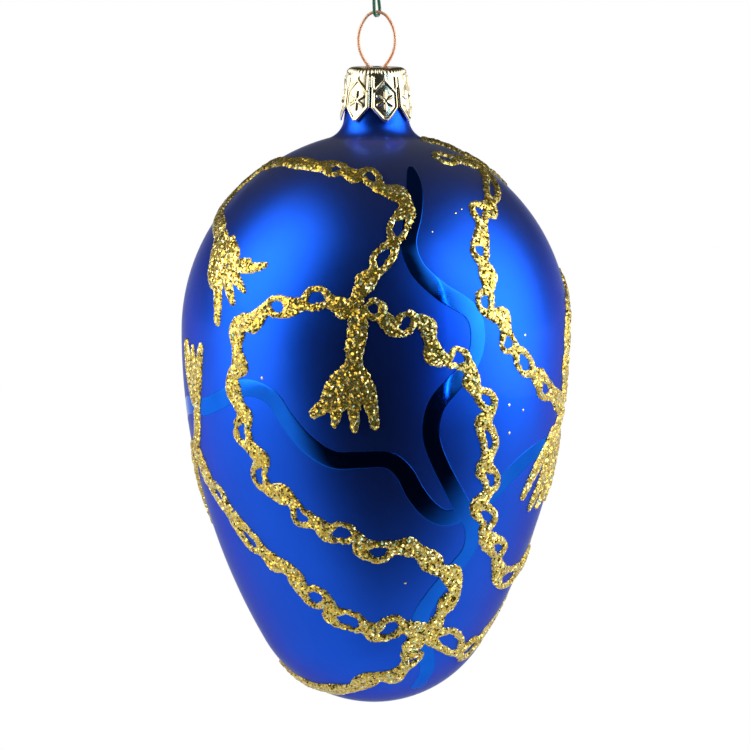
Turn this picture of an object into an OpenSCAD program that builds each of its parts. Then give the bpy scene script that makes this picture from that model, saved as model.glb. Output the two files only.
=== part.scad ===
// Hanging glass egg ornament in millimetres: a hollow blown egg with a stamped cap, a sprung wire
// hanger and a wire hook, trimmed with raised glitter ropes, tassels and thin glossy lacquer waves.
// The egg hangs below the origin, which is the inside of the hook's upper bend.

/* [Egg] */
// Widest outside diameter of the egg
egg_d = 70; // [60:1:84]
// Height of the widest point above the narrow end
waist_h = 67.6; // [60:0.1:80]
// Height of the blunt end above the widest point
crown_h = 36; // [34:0.1:44]
// Radius of the narrow end
tip_r = 22.85; // [16:0.05:26]
// Thickness of the glass
wall = 0.9; // [0.6:0.1:1.4]

/* [Neck] */
// Outside diameter of the neck at its rim
neck_d = 9.6; // [8.6:0.2:12]
// Height of the rim above the blunt end
neck_rise = 10.8; // [9:0.1:14]
// Slope of the neck's side away from upright, in degrees
neck_slope = 7; // [2:1:10]
// Radius of the hollow where the neck meets the egg
neck_fillet = 4; // [2:0.25:5]

/* [Cap] */
// Thickness of the stamped sheet
cap_sheet = 0.3; // [0.2:0.05:0.5]
// Gap between the skirt and the neck
cap_fit = 0.25; // [0.15:0.05:0.4]
// Gap between the top of the cap and the rim
cap_seat = 0.5; // [0.4:0.05:0.8]
// Height of the cap from its top to the tips of its leaves
cap_h = 9.7; // [8:0.1:10.5]
// Outside radius of the rounded shoulder
cap_round = 1.5; // [0.9:0.1:1.6]
// Diameter of the hole for the hanger
cap_hole_d = 4.2; // [4:0.1:4.6]
// Number of pointed leaves round the skirt
leaf_count = 7; // [5:1:9]
// Height of the notch between two leaves
leaf_notch = 2.6; // [1.5:0.1:4]
// Width of the blunt point of a leaf
leaf_point = 0.7; // [0.4:0.1:1.2]
// Width of the slit between two leaves
leaf_slit = 0.25; // [0.15:0.05:0.4]
// Height of the slit above the notch
slit_h = 3.6; // [2:0.1:4]
// Turn of the leaves about the egg's axis, in degrees
cap_turn = 28; // [0:1:50]

/* [Hanger wire] */
// Diameter of the hanger wire
wire_d = 0.55; // [0.4:0.05:0.7]
// Width of the loop between wire centres
loop_w = 6.6; // [6.4:0.2:10]
// Height of the loop's oval between wire centres
loop_h = 10.1; // [9:0.1:13]
// Radius of the loop's top
loop_top_r = 2.4; // [2:0.1:3]
// Straight run of each leg from the loop down to the cap
leg_run = 0.85; // [0.5:0.05:1.5]
// Radius of the bend below the hole
leg_bend_r = 1.2; // [0.9:0.1:1.6]
// Straight length of each sprung leg
leg_len = 11; // [8:0.5:14]
// Gap between the ends of the legs and the narrowest part of the neck
leg_gap = 0.3; // [0.2:0.05:0.5]

/* [Hook] */
// Diameter of the hook wire
hook_d = 0.6; // [0.5:0.05:0.8]
// Gap between the hook and the loop that hangs on it
hang_gap = 0.1; // [0.05:0.01:0.2]
// Radius of the lower bend, at the wire's centre
hook_bend_r = 1.1; // [1:0.1:1.6]
// Straight length at the bottom of the lower bend, where the loop hangs
hook_flat = 0.8; // [0.6:0.1:1.6]
// Radius of the upper bend, at the wire's centre
hook_top_r = 4.6; // [3.6:0.2:7]
// Height from the wire at the bottom to the wire at the top
hook_h = 24; // [20:0.5:40]
// Straight length of the hook's lower end
hook_low_end = 4; // [3:0.5:6]
// Straight length of the hook's upper end
hook_high_end = 3.5; // [2:0.5:6]
// Turn of the hook's plane from the view straight along the loop's eye, in degrees
hook_turn = 19; // [0:1:25]

/* [Glitter rope] */
// Width of one strand of the rope
strand_w = 1.5; // [1:0.1:2]
// Height of the bead
rope_h = 0.8; // [0.4:0.05:1.2]
// Length of one eye and one filled lobe together
rope_pitch = 7.6; // [6:0.2:10]
// How far each strand swings out round an eye
eye_reach = 1.3; // [0.8:0.1:1.6]
// How far the rope swells at a filled lobe
lobe_reach = 0.8; // [0.3:0.1:1.2]
// Height of the bead left in the middle of an eye
eye_floor = 0.16; // [0.1:0.02:0.3]
// How far the rope wanders to each side of its route
rope_sway = 0.5; // [0:0.1:0.8]

/* [Tassel] */
// Height of the tassel's strands
tassel_h = 0.8; // [0.4:0.05:1.2]
// Width of the tassel's cord
tassel_cord_w = 3; // [2:0.1:4]
// Width of the binding above the strands
tassel_tie_w = 2.4; // [1.6:0.1:3.2]
// Width of a full tassel at the ends of its strands
tassel_w = 11; // [8:0.5:13]
// Number of strands
tassel_strands = 4; // [3:1:5]

/* [Gloss] */
// Width of a glossy wave
band_w = 3.2; // [1.6:0.1:3.6]
// Thickness of a glossy wave
band_t = 0.05; // [0.03:0.01:0.08]
// Gap under each layer of the decoration
skin_gap = 0.05; // [0.05:0.01:0.1]

/* [Hidden] */
$fn = 96;
egg_r = egg_d / 2;
crown_r = (egg_r * egg_r + crown_h * crown_h) / egg_d;
side_r = (egg_r * egg_r + pow(waist_h - tip_r, 2) - tip_r * tip_r) / (2 * (egg_r - tip_r));
// Arc centres as [radius, height], measured from the middle of the widest circle
crown_c = [egg_r - crown_r, 0];
side_c = [egg_r - side_r, 0];
tip_c = [0, tip_r - waist_h];
tip_way = (tip_c - side_c) / norm(tip_c - side_c);
tip_join = tip_c + tip_r * tip_way;
tip_lat = atan2(tip_join[1], tip_join[0]);

// The neck's side as a line, and the centre of the hollow that blends it into the egg
rim_z = crown_h + neck_rise;
neck_top = [neck_d / 2, rim_z];
neck_down = [sin(neck_slope), -cos(neck_slope)];
neck_out = [cos(neck_slope), sin(neck_slope)];
fillet_from = neck_top + neck_fillet * neck_out - crown_c;
fillet_near = fillet_from * neck_down;
fillet_far = fillet_from * fillet_from - pow(crown_r + neck_fillet, 2);
fillet_run = -fillet_near - sqrt(fillet_near * fillet_near - fillet_far);
fillet_c = neck_top + neck_fillet * neck_out + fillet_run * neck_down;
fillet_way = (fillet_c - crown_c) / norm(fillet_c - crown_c);
bore_r = neck_d / 2 - wall;

// The cap lies outside the neck's line, and its shoulder rounds into its flat top
cap_top = rim_z + cap_seat + cap_sheet;
cap_tip_z = cap_top - cap_h;
cap_off = cap_fit + cap_sheet;
shoulder_z = cap_top - cap_round;
shoulder_on = neck_top + (cap_off - cap_round) * neck_out;
shoulder_run = (shoulder_on[1] - shoulder_z) / cos(neck_slope);
shoulder_c = shoulder_on + shoulder_run * neck_down;
leaf_r = side_at(cap_off, cap_tip_z)[0];
leaf_w = 2 * leaf_r * sin(180 / leaf_count);

// The loop is an oval of two radii, and each leg bends back to spread inside the neck
loop_half_w = loop_w / 2;
loop_half_h = loop_h / 2;
oval_rise = loop_half_h - loop_top_r;
oval_gap = loop_half_w - loop_top_r;
loop_side_r = (pow(loop_half_w, 2) + pow(oval_rise, 2) - pow(loop_top_r, 2)) / (2 * oval_gap);
oval_turn = atan2(oval_rise, loop_side_r - loop_half_w);
oval_drop = loop_side_r * sin(oval_turn) + leg_run * cos(oval_turn);
loop_c_z = cap_top + oval_drop;
loop_top_z = loop_c_z + loop_half_h;
leg_x = loop_half_w - loop_side_r * (1 - cos(oval_turn)) - leg_run * sin(oval_turn);
leg_waist_x = leg_x - leg_bend_r * (1 - cos(oval_turn));
leg_splay = asin((bore_r - leg_gap - wire_d / 2 - leg_waist_x) / leg_len);

// The hook is an S: its shank is the line that touches both bends
pin_z = loop_top_z - wire_d / 2 - hang_gap - hook_d / 2;
hook_low_c = [hook_flat / 2, pin_z + hook_bend_r];
hook_top_c = [0, pin_z + hook_h - hook_top_r];
shank_span = hook_top_c - hook_low_c;
shank_len = sqrt(shank_span * shank_span - pow(hook_bend_r + hook_top_r, 2));
shank_lean = atan2(shank_span[1], shank_span[0]) - atan2(shank_len, hook_bend_r + hook_top_r);
low_end_turn = 84;
hang_z = pin_z + hook_h - hook_d / 2;

// How far one curve of a section stands proud where it runs into the next
proud = 0.005;
// Gap of a wire's runs at each seam, and how much thicker than the wire the ball there is
seam_gap = 0.05;
seam_swell = 1.05;

// Layers of the decoration, counted out from the glass
girdle_lift = skin_gap;
wave_lift = girdle_lift + band_t + skin_gap;
rope_lift = wave_lift + band_t + skin_gap;
band_step = 0.8 * band_w;
rope_rings = 6;
rope_step = rope_pitch / rope_rings;
// Half width of the rope where its strands cross, and how it grows ring by ring from each end
cross_w = 0.6 * strand_w;
end_share = 0.4;
end_growth = 0.3;
tassel_edges = 2 * tassel_strands;
// How far along a tassel each ring lies, and where its strands part
tassel_shares = [0, 0.1, 0.28, 0.36, 0.6];
tassel_split = 0.72;
// Width of the strands before they part, and height of the groove between two of them, as shares
tassel_swell = 0.75;
tassel_groove = 0.6;

// Routes as [longitude, latitude] in degrees seen from the egg's middle, longitude 0 at the front
top_route = [[-68, 32], [-79, 35], [-90, 39], [-93, 46], [-92, 53], [-84, 58], [-62, 60], [-40, 60],
    [-24, 58], [-8, 55], [3, 50], [11, 46], [12, 40], [9, 35], [5, 29], [2, 24], [-2, 19], [-5, 16]];
left_route = [[-10, 12], [-18, 15], [-27, 12], [-35, 9], [-42, 6], [-45, 0], [-45, -7], [-45, -15],
    [-42, -21], [-42, -27], [-38, -33], [-38, -38], [-29, -41], [-24, -45], [-13, -48], [-3, -50],
    [8, -51], [17, -52], [26, -55], [32, -59], [30, -63]];
right_route = [[0, 10], [8, 9], [14, 6], [18, 0], [23, -4], [28, -7], [31, -12], [35, -18], [35, -24],
    [37, -30], [37, -36], [38, -42], [40, -48], [48, -53], [56, -57], [68, -60], [80, -58], [91, -53],
    [101, -45], [108, -36], [111, -29]];
low_route = [[-73, -35], [-70, -39], [-62, -43], [-53, -49], [-44, -52], [-35, -56], [-28, -60],
    [-18, -64], [-7, -66], [4, -67], [16, -67]];
foot_route = [[22, -71], [16, -74], [4, -75], [-10, -77], [-32, -79], [-60, -79], [-92, -77],
    [-118, -72], [-136, -66]];
foot_right_route = [[36, -69], [48, -70], [64, -69], [82, -65], [98, -59], [112, -52], [122, -44],
    [126, -36], [123, -29]];
side_route = [[49, 68], [53, 64], [64, 62], [73, 58], [69, 53], [60, 48], [52, 44], [45, 41], [41, 36],
    [37, 29], [36, 23], [37, 18], [35, 13], [38, 8], [40, 3], [44, -2], [49, -7], [56, -11], [63, -15],
    [69, -18]];
edge_route = [[78, -15], [79, -8], [79, 0], [82, 8], [94, 15], [107, 21], [120, 24], [132, 22],
    [143, 16], [149, 9]];
crown_route = [[70, 74], [84, 71], [93, 66], [96, 60], [99, 54], [106, 50], [118, 48], [134, 48],
    [148, 45], [158, 38], [163, 30], [162, 22], [159, 15], [157, 11]];
back_route = [[163, 7], [172, 10], [184, 11], [196, 8], [208, 2], [219, -5], [229, -9]];
back_low_route = [[-81, -35], [-89, -40], [-95, -47], [-106, -53], [-122, -56], [-140, -54],
    [-156, -48], [-170, -42], [-184, -40], [-198, -42], [-212, -41], [-222, -38]];
girdle_route = [[-63, -20], [-52, -17], [-41, -13], [-32, -15], [-27, -21], [-21, -27], [-13, -31],
    [-4, -31], [4, -31], [9, -34], [13, -39], [18, -43], [24, -45], [31, -44], [40, -41], [48, -36],
    [57, -32], [68, -30], [79, -33], [89, -39], [100, -42], [112, -40], [123, -34], [134, -28],
    [146, -26], [158, -30], [168, -36], [180, -39], [192, -36], [202, -30], [213, -25], [225, -26],
    [236, -31], [247, -34], [258, -31], [269, -25], [281, -21]];
wave_route = [[20, 60], [17, 49], [14, 40], [11, 31], [13, 23], [20, 16], [29, 10], [31, 3], [29, -5],
    [23, -11], [18, -17], [17, -25], [21, -33], [28, -41], [35, -47], [36, -52], [31, -56], [24, -61],
    [21, -65], [27, -70], [34, -74], [37, -79]];
// Tassels as [head, end of the strands, width as a share of a full tassel's]
left_tassel = [[-63, 28], [-46, 11], 1.2];
front_tassel = [[-5, 7], [-8, -23], 1.05];
low_tassel = [[-72, -30], [-67, -1], 0.7];
right_tassel = [[75, -25], [68, -45], 1];
back_tassel = [[157, 4], [158, -22], 1];
back_left_tassel = [[235, -13], [238, -36], 0.9];
back_right_tassel = [[116, -21], [121, 4], 0.8];

// Shape of the egg: the arc that a latitude lies on, its reach from the middle and the way it faces
function arc_at(lat) = lat >= 0 ? [crown_c, crown_r] : lat >= tip_lat ? [side_c, side_r] : [tip_c, tip_r];
function ray(lat) = [cos(lat), sin(lat)];
function reach(lat) =
    let (arc = arc_at(lat), near = arc[0] * ray(lat))
    near + sqrt(arc[1] * arc[1] - arc[0] * arc[0] + near * near);
function facing(lat) = let (arc = arc_at(lat)) (reach(lat) * ray(lat) - arc[0]) / arc[1];
function on_egg(lon, lat, lift) =
    let (p = reach(lat) * ray(lat) + lift * facing(lat))
    [p[0] * sin(lon), -p[0] * cos(lon), p[1]];
function lon_mm(lat) = reach(lat) * cos(lat) * PI / 180;
function lat_mm(lat) = norm(on_egg(0, lat + 0.5, 0) - on_egg(0, lat - 0.5, 0));
function way_mm(way, lat) = [way[0] * lon_mm(lat), way[1] * lat_mm(lat)];

// A point of the surface beside a route: across is to the right of the way the route runs
function beside(p, way, across, lift) =
    let (run = way_mm(way, p[1]), unit = run / norm(run))
    on_egg(p[0] + across * unit[1] / lon_mm(p[1]), p[1] - across * unit[0] / lat_mm(p[1]), lift);

// Routes: smooth curves through the chosen points, cut into steps of about one length
function route_at(route, i, closed) =
    let (n = len(route))
    !closed ? route[min(max(i, 0), n - 1)]
    : i < 0 ? route[i + n] - [360, 0]
    : i >= n ? route[i - n] + [360, 0]
    : route[i];
function bend_through(a, b, c, d, t) =
    0.5 * (2 * b + (c - a) * t + (2 * a - 5 * b + 4 * c - d) * t * t + (3 * b - a - 3 * c + d) * t * t * t);
function span_mm(a, b) = norm(way_mm(b - a, (a[1] + b[1]) / 2));
function stations(route, step, closed = false) = [
    for (i = [0 : len(route) - (closed ? 1 : 2)])
        let (a = route_at(route, i - 1, closed), b = route_at(route, i, closed),
             c = route_at(route, i + 1, closed), d = route_at(route, i + 2, closed),
             steps = max(1, round(span_mm(b, c) / step)))
        for (k = [0 : steps - 1]) bend_through(a, b, c, d, k / steps),
    if (!closed) route[len(route) - 1]
];
function way_at(list, i, closed) = route_at(list, i + 1, closed) - route_at(list, i - 1, closed);

// A ring of the rope: two strands that part round an eye and swell together at a lobe
function rope_outline(phase, grow) =
    let (open = max(0, sin(phase)), full = max(0, -sin(phase)),
         half = grow * (cross_w + eye_reach * open + lobe_reach * full),
         ridge = max(half - grow * strand_w / 2, half / 5),
         crest = grow * rope_h,
         middle = open > 0 ? eye_floor : crest,
         aside = [grow * rope_sway * sin(phase), 0])
    [for (q = [[-half, 0], [-ridge, crest], [0, middle], [ridge, crest], [half, 0], [0, 0]]) q + aside];
function band_outline() =
    [[-band_w / 2, 0], [-band_w / 2, band_t], [0, band_t], [band_w / 2, band_t], [band_w / 2, 0], [0, 0]];

// A ring of a tassel, strand by strand: rounded on top and following the glass below
function tassel_ridge(k, crest) =
    k == 0 || k == tassel_edges ? 0
    : k % 2 == 1 ? crest
    : tassel_groove * crest;
function tassel_ring(tassel, half, crest, shares) =
    let (way = tassel[1] - tassel[0])
    [for (j = [0 : 2 * tassel_edges - 1])
        let (under = j > tassel_edges, k = under ? 2 * tassel_edges - j : j,
             lift = rope_lift + (under ? 0 : tassel_ridge(k, crest)))
        beside(tassel[0] + shares[k % 2] * way, way, half * (2 * k / tassel_edges - 1), lift)];

// Ends of a loft as triangles of ring places
function fan_end() = [[5, 0, 1], [5, 1, 2], [5, 2, 3], [5, 3, 4]];
function strand_end() =
    let (last = 2 * tassel_edges)
    [[0, 1, last - 1], [tassel_edges - 1, tassel_edges, tassel_edges + 1],
     for (k = [1 : tassel_edges - 2]) each [[k, k + 1, last - k - 1], [k, last - k - 1, last - k]]];

// A solid through rings that all have as many points
module loft(rings, ends, closed = false) {
    n = len(rings);
    m = len(rings[0]);
    skin = [
        for (i = [0 : n - (closed ? 1 : 2)], j = [0 : m - 1])
            let (a = i * m + j, b = i * m + (j + 1) % m,
                 c = ((i + 1) % n) * m + j, d = ((i + 1) % n) * m + (j + 1) % m)
            each [[a, c, b], [b, c, d]]
    ];
    first = closed ? [] : [for (t = ends) [t[0], t[1], t[2]]];
    last = closed ? [] : [for (t = ends) [t[2], t[1], t[0]] + (n - 1) * [m, m, m]];
    polyhedron(points = [for (ring = rings) each ring], faces = concat(skin, first, last));
}

// A wire that runs along Z and bends towards X, as a list of [straight length] and [radius, angle].
// Its runs stop just short of each seam, and a ball a little thicker than the wire closes it.
module wire_run(d, steps, i = 0) {
    if (i < len(steps)) {
        step = steps[i];
        if (len(step) == 1) {
            translate([0, 0, seam_gap]) cylinder(d = d, h = step[0] - 2 * seam_gap);
            translate([0, 0, step[0]]) wire_seam(d, steps, i);
        } else {
            angle = abs(step[1]);
            trim = seam_gap / step[0] * 180 / PI;
            side = step[1] < 0 ? 180 : 0;
            rotate([0, 0, side]) translate([step[0], 0, 0]) rotate([90, 0, 180]) rotate([0, 0, trim])
                rotate_extrude(angle = angle - 2 * trim) translate([step[0], 0]) circle(d = d);
            rotate([0, 0, side]) translate([step[0] * (1 - cos(angle)), 0, step[0] * sin(angle)])
                rotate([0, angle, 0]) rotate([0, 0, side]) wire_seam(d, steps, i);
        }
    }
}

module wire_seam(d, steps, i) {
    sphere(d = seam_swell * d);
    wire_run(d, steps, i + 1);
}

// Everything is drawn from the middle of the widest circle, and hung from the hook
module hung() {
    translate([0, 0, -hang_z]) children();
}

module rope(route) {
    list = stations(route, rope_step);
    n = len(list);
    hung() loft([
        for (i = [0 : n - 1])
            let (grow = min(1, end_share + end_growth * min(i, n - 1 - i)))
            [for (q = rope_outline(360 * i / rope_rings, grow))
                beside(list[i], way_at(list, i, false), q[0], rope_lift + q[1])]
    ], fan_end());
}

module band(route, lift, closed) {
    list = stations(route, band_step, closed);
    hung() loft([
        for (i = [0 : len(list) - 1])
            [for (q = band_outline()) beside(list[i], way_at(list, i, closed), q[0], lift + q[1])]
    ], fan_end(), closed);
}

module tassel(tassel) {
    spread = tassel_w * tassel[2];
    cord = tassel_cord_w;
    halves = [end_share * cord, cord, cord, tassel_tie_w, tassel_swell * spread] / 2;
    rings = [
        for (i = [0 : len(halves) - 1])
            let (share = tassel_shares[i])
            tassel_ring(tassel, halves[i], i == 0 ? tassel_h / 2 : tassel_h, [share, share]),
        tassel_ring(tassel, spread / 2, tassel_h / 2, [tassel_split, 1])
    ];
    hung() loft(rings, strand_end());
}

// Half of the egg's section, drawn this far inside its outer face
module egg_section(inset) {
    join_z = tip_join[1] - inset * tip_way[1];
    crown_join = crown_c + (crown_r - inset) * fillet_way;
    hollow_r = neck_fillet + inset;
    hollow_join = fillet_c - hollow_r * neck_out;
    hollow_in = [hollow_join[0], crown_join[1]] - [neck_fillet, neck_fillet] / 2;
    rim = neck_top - inset * neck_out + (inset > 0 ? -neck_down : [0, 0]);
    root = rim + (rim[1] - hollow_in[1]) / cos(neck_slope) * neck_down;
    intersection() {
        translate(crown_c) circle(r = crown_r - inset);
        translate([0, -egg_d]) square([egg_d, 2 * egg_d]);
    }
    intersection() {
        translate(side_c) circle(r = side_r - inset - proud);
        translate([0, join_z]) square([egg_d, -join_z]);
    }
    intersection() {
        translate(tip_c) circle(r = tip_r - inset);
        translate([0, -2 * waist_h]) square([egg_d, 2 * waist_h]);
    }
    polygon([[0, root[1]], root, rim, [0, rim[1]]]);
    difference() {
        polygon([hollow_in, crown_join, fillet_c, hollow_join]);
        translate(fillet_c) circle(r = hollow_r + proud);
    }
}

// A point of the line that lies this far outside the neck, at a height
function side_at(off, z) =
    let (from = neck_top + off * neck_out)
    from + (from[1] - z) / cos(neck_slope) * neck_down;

// Half of the cap's section, drawn this far inside its outer face
module cap_section(inset) {
    round_r = cap_round - inset;
    below = cap_tip_z - inset;
    side_off = cap_off - inset - proud;
    top_z = cap_top - inset - proud;
    side_join = shoulder_c + (round_r - proud) * neck_out;
    polygon([
        [0, below], side_at(side_off, below), side_join, shoulder_c, [shoulder_c[0], top_z], [0, top_z]
    ]);
    translate(shoulder_c) circle(r = round_r);
}

module glass_egg() {
    color("mediumblue") hung() rotate_extrude() difference() {
        egg_section(0);
        egg_section(wall);
    }
}

module cap() {
    notch_w = leaf_w - leaf_point;
    notch_z = cap_tip_z + leaf_notch;
    slit = leaf_slit / 2;
    color("palegoldenrod") hung() difference() {
        rotate_extrude() difference() {
            cap_section(0);
            cap_section(cap_sheet);
        }
        translate([0, 0, cap_top - cap_round]) cylinder(d = cap_hole_d, h = 2 * cap_round);
        for (i = [0 : leaf_count - 1])
            rotate([0, 0, cap_turn + (i + 0.5) * 360 / leaf_count]) rotate([90, 0, 90])
                linear_extrude(height = 2 * leaf_r) polygon([
                    [slit - notch_w, cap_tip_z - leaf_notch], [notch_w - slit, cap_tip_z - leaf_notch],
                    [slit, notch_z], [slit, notch_z + slit_h], [-slit, notch_z + slit_h], [-slit, notch_z]
                ]);
    }
}

module hanger_wire() {
    color("chocolate") hung() translate([0, 0, loop_top_z]) {
        rotate([0, 90, 0]) sphere(d = seam_swell * wire_d);
        for (side = [1, -1])
            rotate([0, side * 90, 0]) wire_run(wire_d, [
                [loop_top_r, side * (90 - oval_turn)], [loop_side_r, side * 2 * oval_turn], [leg_run],
                [leg_bend_r, -side * (oval_turn + leg_splay)], [leg_len]
            ]);
    }
}

module green_hook() {
    color("darkgreen") hung() rotate([0, 0, 90 - hook_turn]) translate([-hook_flat / 2, 0, pin_z]) {
        rotate([0, 90, 0]) sphere(d = seam_swell * hook_d);
        rotate([0, -90, 0]) wire_run(hook_d, [[hook_bend_r, low_end_turn], [hook_low_end]]);
        rotate([0, 90, 0]) wire_run(hook_d, [
            [hook_flat], [hook_bend_r, -90 - shank_lean], [shank_len],
            [hook_top_r, 180 + shank_lean], [hook_high_end]
        ]);
    }
}

module glitter() {
    color("goldenrod") children();
}

module gloss() {
    color("royalblue") children();
}

module behind() {
    rotate([0, 0, 180]) children();
}

green_hook();
hanger_wire();
cap();
glass_egg();
gloss() band(girdle_route, girdle_lift, true);  // gloss_girdle
gloss() band(wave_route, wave_lift, false);  // gloss_front_wave
gloss() behind() band(wave_route, wave_lift, false);  // gloss_back_wave
glitter() rope(top_route);  // rope_top
glitter() rope(left_route);  // rope_left
glitter() rope(right_route);  // rope_right
glitter() rope(low_route);  // rope_low
glitter() rope(foot_route);  // rope_foot
glitter() rope(foot_right_route);  // rope_foot_right
glitter() rope(side_route);  // rope_side
glitter() rope(edge_route);  // rope_edge
glitter() rope(crown_route);  // rope_crown
glitter() rope(back_route);  // rope_back
glitter() rope(back_low_route);  // rope_back_low
glitter() tassel(left_tassel);  // tassel_left
glitter() tassel(front_tassel);  // tassel_front
glitter() tassel(low_tassel);  // tassel_low
glitter() tassel(right_tassel);  // tassel_right
glitter() tassel(back_tassel);  // tassel_back
glitter() tassel(back_left_tassel);  // tassel_back_left
glitter() tassel(back_right_tassel);  // tassel_back_right
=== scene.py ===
"""Looks of the hanging glass egg ornament: satin blue egg, stamped cap, wire loop and hook, glitter ropes."""

import math

import bpy
import numpy as np
from mathutils import Matrix, Vector, kdtree


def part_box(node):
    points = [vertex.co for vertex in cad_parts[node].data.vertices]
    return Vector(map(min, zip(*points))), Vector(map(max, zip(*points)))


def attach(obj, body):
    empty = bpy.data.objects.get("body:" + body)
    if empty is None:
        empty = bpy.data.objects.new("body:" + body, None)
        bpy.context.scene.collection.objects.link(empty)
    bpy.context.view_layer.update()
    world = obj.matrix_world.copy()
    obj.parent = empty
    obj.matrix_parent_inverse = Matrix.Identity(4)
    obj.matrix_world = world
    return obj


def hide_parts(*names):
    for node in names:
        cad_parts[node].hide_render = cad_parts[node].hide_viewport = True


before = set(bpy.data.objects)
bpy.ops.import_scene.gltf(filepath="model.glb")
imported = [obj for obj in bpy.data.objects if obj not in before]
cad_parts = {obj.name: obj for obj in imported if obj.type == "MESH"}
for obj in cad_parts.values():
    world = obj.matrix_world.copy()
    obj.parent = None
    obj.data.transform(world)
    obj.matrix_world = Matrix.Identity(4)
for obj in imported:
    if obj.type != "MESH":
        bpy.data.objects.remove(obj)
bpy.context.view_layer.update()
rng = np.random.default_rng(20)
scene = bpy.context.scene
MM = 0.001

# Sizes of the egg in millimetres, the same as in the part's source
EGG_R = 35.0
WAIST_H = 67.6
CROWN_H = 36.0
TIP_R = 22.85
WALL = 0.9
NECK_R = 4.8
NECK_RISE = 10.8
NECK_SLOPE = math.radians(7)
NECK_FILLET = 4.0

# Sizes of the cap, with its turn in degrees
CAP_ROUND = 1.5
CAP_SHEET = 0.3
CAP_HOLE_R = 2.1
CAP_OFF = 0.55
CAP_SEAT = 0.5
CAP_TURN = 28.0
LEAVES = 7
LEAF_NOTCH = 2.6
LEAF_POINT = 0.7
LEAF_SLIT = 0.25
SLIT_H = 3.6

# Sizes of the wire loop
WIRE_R = 0.275
LOOP_HALF_W = 3.3
LOOP_HALF_H = 5.05
LOOP_TOP_R = 2.4
LEG_RUN = 0.85
LEG_BEND_R = 1.2
LEG_LEN = 11.0
LEG_GAP = 0.3

# Sizes of the hook, with its turns in degrees
HOOK_R = 0.3
HOOK_BEND_R = 1.1
HOOK_FLAT = 0.8
HOOK_TOP_R = 4.6
HOOK_H = 24.0
HOOK_LOW_END = 4.0
HOOK_HIGH_END = 3.5
HOOK_TURN = 19.0
HOOK_LOW_TURN = 84.0

# Heights in the frame, from the pieces' boxes and the sizes above
MIDDLE_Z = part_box("glass_egg")[0].z / MM + WAIST_H
CAP_TIP, CAP_TOP = (corner.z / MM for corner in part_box("cap"))
SLIT_TOP = CAP_TIP + LEAF_NOTCH + SLIT_H
PIN_Z = HOOK_R - HOOK_H

# Outline of the egg: one arc each for its crown, its side and its tip
CROWN_RAD = (EGG_R ** 2 + CROWN_H ** 2) / (2 * EGG_R)
SIDE_RAD = (EGG_R ** 2 + (WAIST_H - TIP_R) ** 2 - TIP_R ** 2) / (2 * (EGG_R - TIP_R))
CROWN_C = np.array([EGG_R - CROWN_RAD, 0.0])
SIDE_C = np.array([EGG_R - SIDE_RAD, 0.0])
TIP_C = np.array([0.0, TIP_R - WAIST_H])
TIP_WAY = (TIP_C - SIDE_C) / np.linalg.norm(TIP_C - SIDE_C)
TIP_JOIN = TIP_C + TIP_R * TIP_WAY
TIP_LAT = math.atan2(TIP_JOIN[1], TIP_JOIN[0])


# Surface of the egg by longitude and latitude in degrees, seen from its middle
def surface(lon, lat, lift=0.0):
    lon, lat = np.radians(np.asarray(lon, float)), np.radians(np.asarray(lat, float))
    way_r, way_z = np.cos(lat), np.sin(lat)
    crown, tip = lat >= 0, lat < TIP_LAT
    c_r = np.where(crown, CROWN_C[0], np.where(tip, 0.0, SIDE_C[0]))
    c_z = np.where(tip, TIP_C[1], 0.0)
    rad = np.where(crown, CROWN_RAD, np.where(tip, TIP_R, SIDE_RAD))
    near = c_r * way_r + c_z * way_z
    reach = near + np.sqrt(rad ** 2 - c_r ** 2 - c_z ** 2 + near ** 2)
    out_r, out_z = (reach * way_r - c_r) / rad, (reach * way_z - c_z) / rad
    r, z = reach * way_r + lift * out_r, reach * way_z + lift * out_z
    place = np.stack([r * np.sin(lon), -r * np.cos(lon), z + MIDDLE_Z], -1)
    face = np.stack([out_r * np.sin(lon), -out_r * np.cos(lon), out_z], -1)
    return place, face


def on_surface(points, lift):
    x, y, z = points[..., 0], points[..., 1], points[..., 2] - MIDDLE_Z
    lon = np.degrees(np.arctan2(x, -y))
    lat = np.degrees(np.arctan2(z, np.hypot(x, y)))
    return surface(lon, lat, lift)[0]


def unit(v):
    return v / np.linalg.norm(v, axis=-1, keepdims=True)


def bend_through(knots, steps, closed=False):
    """A smooth curve through rows of numbers, with this many steps from each row to the next."""
    k = np.asarray(knots, float)
    if closed:
        turn = np.zeros(k.shape[1])
        turn[0] = 360
        k = np.vstack([k[-1:] - turn, k, k[:2] + turn])
    else:
        k = np.vstack([2 * k[:1] - k[1:2], k, 2 * k[-1:] - k[-2:-1]])
    t = (np.arange(steps) / steps)[:, None]
    rows = []
    for a, b, c, d in zip(k[:-3], k[1:-2], k[2:-1], k[3:]):
        rows.append(0.5 * (2 * b + (c - a) * t + (2 * a - 5 * b + 4 * c - d) * t ** 2
                           + (3 * b - a - 3 * c + d) * t ** 3))
    rows.append(k[-2:-1])
    return np.vstack(rows)


def even(points, step, *more):
    """Points along a line at even steps, and other rows taken along."""
    run = np.concatenate([[0], np.cumsum(np.linalg.norm(np.diff(points, axis=0), axis=1))])
    at = np.linspace(0, run[-1], max(8, int(round(run[-1] / step))) + 1)

    def pick(rows):
        if np.ndim(rows) == 1:
            return np.interp(at, run, rows)
        return np.stack([np.interp(at, run, column) for column in np.transpose(rows)], -1)

    return tuple(pick(rows) for rows in (points, *more))


def eased(points, reach):
    """A line with its wiggles smoothed away over this many points."""
    ramp = np.hanning(2 * reach + 3)[1:-1]
    ramp /= ramp.sum()
    first = 2 * points[:1] - points[reach:0:-1]
    last = 2 * points[-1:] - points[-2:-reach - 2:-1]
    padded = np.vstack([first, points, last])
    return np.stack([np.convolve(c, ramp, "valid") for c in padded.T], -1)


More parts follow.
